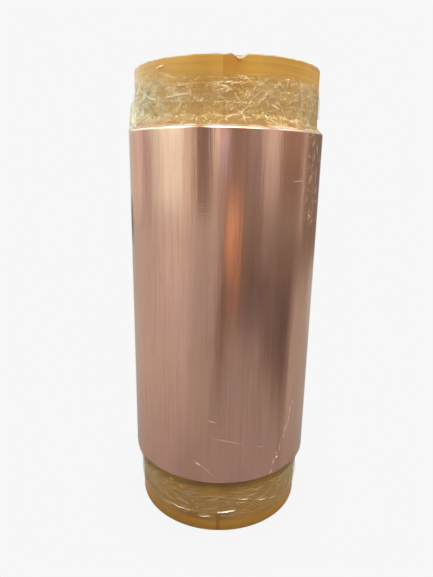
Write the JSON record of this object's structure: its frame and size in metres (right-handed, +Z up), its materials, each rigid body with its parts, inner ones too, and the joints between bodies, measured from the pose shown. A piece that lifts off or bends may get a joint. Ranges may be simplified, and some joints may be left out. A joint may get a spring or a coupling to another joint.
{
  "type": "copper foil tape roll",
  "caption": "Wide roll of copper foil tape on a thick board core with both ends proud, wrapped in clear stretch film; stands on end or takes a winding shaft.",
  "frame": {"origin": "centre of the core's lower end face, on the surface that the roll stands on", "axes": "+Z up the core's axis from the lower end; the front of the roll, with the chip in the upper rim, faces -Y"},
  "size_m": [0.1148, 0.1148, 0.27],
  "materials": {
    "board": "matte grey-brown board, ply lines on the cut ends",
    "kraft_liner": "smooth matte kraft paper",
    "amber_face": "gloss amber varnish over kraft paper, fine hoop streaks",
    "tape_white": "matte white double-sided tape",
    "foil_edges": "satin edges of wound copper and paper turns",
    "release_paper": "smooth cream release paper",
    "copper_foil": "bright rolled copper",
    "clear_tape": "clear gloss adhesive tape",
    "stretch_film": "clear stretch film, glossy, creased"
  },
  "bodies": {
    "root": {"core_liner_ply": "kraft_liner", "core_board_plies": "board", "core_face_ply": "amber_face", "starter_tape": "tape_white", "foil_inner_turns": "foil_edges", "liner_last_turn": "release_paper", "foil_last_turn": "copper_foil", "tail_tapes": "clear_tape", "film_inner_wrap": "stretch_film", "film_outer_wrap": "stretch_film", "film_top_band": "stretch_film", "film_bottom_band": "stretch_film"}
  },
  "joints": []
}
